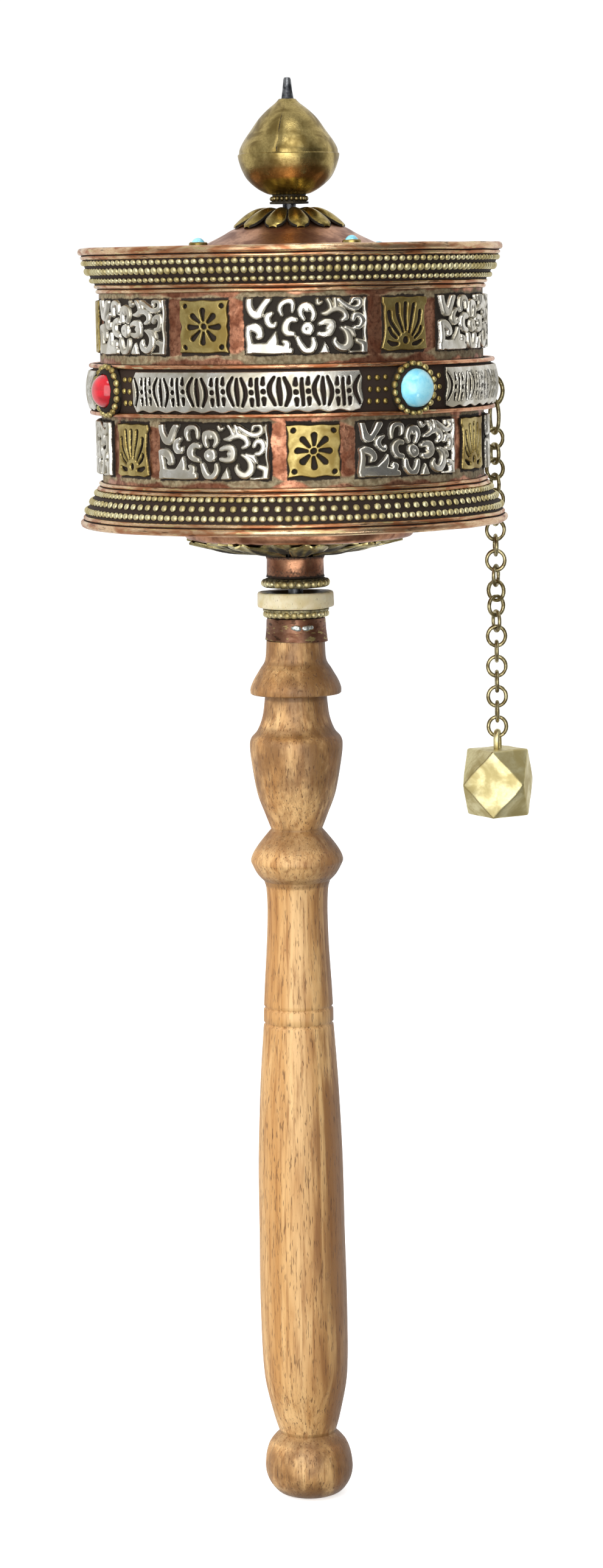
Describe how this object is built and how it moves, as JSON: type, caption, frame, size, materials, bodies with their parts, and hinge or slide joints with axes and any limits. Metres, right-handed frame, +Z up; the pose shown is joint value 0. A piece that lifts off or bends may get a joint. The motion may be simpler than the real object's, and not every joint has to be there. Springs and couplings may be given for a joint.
{
  "type": "prayer wheel",
  "caption": "Hand-held prayer wheel: a banded copper drum that spins on an iron spindle over a turned wooden handle, with a lift-off lid and a weighted chain.",
  "frame": {"origin": "centre of the flat end of the handle's pommel, on the spindle's axis", "axes": "+Z up the spindle's axis, from the pommel towards the finial; -Y towards the front, where a plaque of the upper row and a motif of the lower row face"},
  "size_m": [0.0941, 0.0872, 0.3],
  "materials": {
    "turned_wood": "oiled, fine open grain, worn pale",
    "worn_copper": "brown patina with brass and solder patches",
    "antique_brass": "antique, darkened in the hollows",
    "dark_iron": "dark, filed",
    "bone": "polished bone, grimy at the top edge",
    "copper": "salmon copper with brown patina",
    "white_metal": "pale pressed metal, black in the recesses",
    "dark_brass": "nearly black patina",
    "paper": "matte wound paper",
    "turquoise": "polished cabochon",
    "coral": "polished cabochon",
    "chain_brass": "dull antique",
    "cast_brass": "pale satin casting"
  },
  "bodies": {
    "handle": {"handle": "turned_wood", "ferrule": "worn_copper", "ferrule_bead_ring": "antique_brass", "spindle": "dark_iron"},
    "washer": {"bone_washer": "bone"},
    "drum": {"drum_wall": "copper", "top_rim_band": "copper", "bottom_rim_band": "copper", "upper_ornament_row": "white_metal", "lower_ornament_row": "white_metal", "mid_band": "dark_brass", "bottom_plate": "copper", "bottom_rosette": "antique_brass", "neck_tube": "copper", "neck_bead_ring": "antique_brass", "core_tube": "dark_brass", "mantra_scroll": "paper", "band_bezel_1": "antique_brass", "band_bezel_2": "antique_brass", "band_bezel_3": "antique_brass", "band_bezel_4": "antique_brass", "band_stone_1": "turquoise", "band_stone_2": "coral", "band_stone_3": "turquoise", "band_stone_4": "coral", "band_strip_1": "white_metal", "band_strip_2": "white_metal", "band_strip_3": "white_metal", "band_strip_4": "white_metal", "chain_eye": "chain_brass"},
    "lid": {"lid": "copper", "top_rosette": "antique_brass", "lid_stone_1": "turquoise", "lid_stone_2": "turquoise", "lid_stone_3": "turquoise", "lid_stone_4": "turquoise"},
    "finial": {"finial_collar": "antique_brass", "finial_bulb": "antique_brass"},
    "jump_ring": {"jump_ring": "chain_brass"},
    "chain_link_01": {"chain_link_01": "chain_brass"},
    "chain_link_02": {"chain_link_02": "chain_brass"},
    "chain_link_03": {"chain_link_03": "chain_brass"},
    "chain_link_04": {"chain_link_04": "chain_brass"},
    "chain_link_05": {"chain_link_05": "chain_brass"},
    "chain_link_06": {"chain_link_06": "chain_brass"},
    "chain_link_07": {"chain_link_07": "chain_brass"},
    "chain_link_08": {"chain_link_08": "chain_brass"},
    "chain_link_09": {"chain_link_09": "chain_brass"},
    "chain_link_10": {"chain_link_10": "chain_brass"},
    "chain_link_11": {"chain_link_11": "chain_brass"},
    "chain_link_12": {"chain_link_12": "chain_brass"},
    "chain_link_13": {"chain_link_13": "chain_brass"},
    "chain_link_14": {"chain_link_14": "chain_brass"},
    "chain_link_15": {"chain_link_15": "chain_brass"},
    "chain_link_16": {"chain_link_16": "chain_brass"},
    "chain_link_17": {"chain_link_17": "chain_brass"},
    "chain_link_18": {"chain_link_18": "chain_brass"},
    "chain_link_19": {"chain_link_19": "chain_brass"},
    "chain_link_20": {"chain_link_20": "chain_brass"},
    "weight": {"weight": "cast_brass"}
  },
  "joints": [
    {"name": "drum_spin", "type": "hinge", "parent": "handle", "child": "drum", "pos_m": [0, 0, 0.235], "axis": [0, 0, 1], "continuous": true},
    {"name": "washer_spin", "type": "hinge", "parent": "handle", "child": "washer", "pos_m": [0, 0, 0.1925], "axis": [0, 0, 1], "continuous": true},
    {"name": "finial_lift", "type": "slide", "parent": "handle", "child": "finial", "axis": [0, 0, 1], "range_m": [0, 0.06]},
    {"name": "lid_lift", "type": "slide", "parent": "drum", "child": "lid", "axis": [0, 0, 1], "range_m": [0, 0.045]},
    {"name": "jump_ring_swing", "type": "hinge", "parent": "drum", "child": "jump_ring", "pos_m": [0.04271, 0.01813, 0.23171], "axis": [0.9205, 0.3907, 0], "range_deg": [-25, 25]},
    {"name": "chain_link_01_swing", "type": "hinge", "parent": "jump_ring", "child": "chain_link_01", "pos_m": [0.04271, 0.01813, 0.22584], "axis": [0.3907, -0.9205, 0], "range_deg": [0, 45]},
    {"name": "chain_link_02_swing", "type": "hinge", "parent": "chain_link_01", "child": "chain_link_02", "pos_m": [0.04271, 0.01813, 0.22263], "axis": [-0.9205, -0.3907, 0], "range_deg": [-25, 25]},
    {"name": "chain_link_03_swing", "type": "hinge", "parent": "chain_link_02", "child": "chain_link_03", "pos_m": [0.04271, 0.01813, 0.21939], "axis": [0.3907, -0.9205, 0], "range_deg": [0, 30]},
    {"name": "chain_link_04_swing", "type": "hinge", "parent": "chain_link_03", "child": "chain_link_04", "pos_m": [0.04271, 0.01813, 0.21615], "axis": [0.9205, 0.3907, 0], "range_deg": [-25, 25]},
    {"name": "chain_link_05_swing", "type": "hinge", "parent": "chain_link_04", "child": "chain_link_05", "pos_m": [0.04271, 0.01813, 0.21291], "axis": [0.3907, -0.9205, 0], "range_deg": [0, 30]},
    {"name": "chain_link_06_swing", "type": "hinge", "parent": "chain_link_05", "child": "chain_link_06", "pos_m": [0.04271, 0.01813, 0.20967], "axis": [-0.9205, -0.3907, 0], "range_deg": [-25, 25]},
    {"name": "chain_link_07_swing", "type": "hinge", "parent": "chain_link_06", "child": "chain_link_07", "pos_m": [0.04271, 0.01813, 0.20643], "axis": [0.3323, -0.9432, 0], "range_deg": [-25, 25]},
    {"name": "chain_link_08_swing", "type": "hinge", "parent": "chain_link_07", "child": "chain_link_08", "pos_m": [0.04271, 0.01813, 0.20319], "axis": [0.9799, 0.1994, 0], "range_deg": [-25, 25]},
    {"name": "chain_link_09_swing", "type": "hinge", "parent": "chain_link_08", "child": "chain_link_09", "pos_m": [0.04271, 0.01813, 0.19995], "axis": [-0.0627, 0.998, 0], "range_deg": [-25, 25]},
    {"name": "chain_link_10_swing", "type": "hinge", "parent": "chain_link_09", "child": "chain_link_10", "pos_m": [0.04271, 0.01813, 0.19671], "axis": [0.9962, -0.0869, 0], "range_deg": [-25, 25]},
    {"name": "chain_link_11_swing", "type": "hinge", "parent": "chain_link_10", "child": "chain_link_11", "pos_m": [0.04271, 0.01813, 0.19347], "axis": [-0.3064, -0.9519, 0], "range_deg": [-25, 25]},
    {"name": "chain_link_12_swing", "type": "hinge", "parent": "chain_link_11", "child": "chain_link_12", "pos_m": [0.04271, 0.01813, 0.19023], "axis": [-0.8149, 0.5796, 0], "range_deg": [-25, 25]},
    {"name": "chain_link_13_swing", "type": "hinge", "parent": "chain_link_12", "child": "chain_link_13", "pos_m": [0.04271, 0.01813, 0.18699], "axis": [0.8149, 0.5796, 0], "range_deg": [-25, 25]},
    {"name": "chain_link_14_swing", "type": "hinge", "parent": "chain_link_13", "child": "chain_link_14", "pos_m": [0.04271, 0.01813, 0.18375], "axis": [0.3064, -0.9519, 0], "range_deg": [-25, 25]},
    {"name": "chain_link_15_swing", "type": "hinge", "parent": "chain_link_14", "child": "chain_link_15", "pos_m": [0.04271, 0.01813, 0.18051], "axis": [-0.9962, -0.0869, 0], "range_deg": [-25, 25]},
    {"name": "chain_link_16_swing", "type": "hinge", "parent": "chain_link_15", "child": "chain_link_16", "pos_m": [0.04271, 0.01813, 0.17727], "axis": [0, 1, 0], "range_deg": [-25, 25]},
    {"name": "chain_link_17_swing", "type": "hinge", "parent": "chain_link_16", "child": "chain_link_17", "pos_m": [0.04271, 0.01813, 0.17403], "axis": [1, 0, 0], "range_deg": [-25, 25]},
    {"name": "chain_link_18_swing", "type": "hinge", "parent": "chain_link_17", "child": "chain_link_18", "pos_m": [0.04271, 0.01813, 0.17079], "axis": [0, -1, 0], "range_deg": [-25, 25]},
    {"name": "chain_link_19_swing", "type": "hinge", "parent": "chain_link_18", "child": "chain_link_19", "pos_m": [0.04271, 0.01813, 0.16755], "axis": [-1, 0, 0], "range_deg": [-25, 25]},
    {"name": "chain_link_20_swing", "type": "hinge", "parent": "chain_link_19", "child": "chain_link_20", "pos_m": [0.04271, 0.01813, 0.16431], "axis": [0, 1, 0], "range_deg": [-25, 25]},
    {"name": "weight_swing", "type": "hinge", "parent": "chain_link_20", "child": "weight", "pos_m": [0.04271, 0.01813, 0.16107], "axis": [1, 0, 0], "range_deg": [-25, 25]}
  ],
  "couplings": [
    {"joint": "lid_lift", "follows": "finial_lift", "ratio": 0.75}
  ]
}
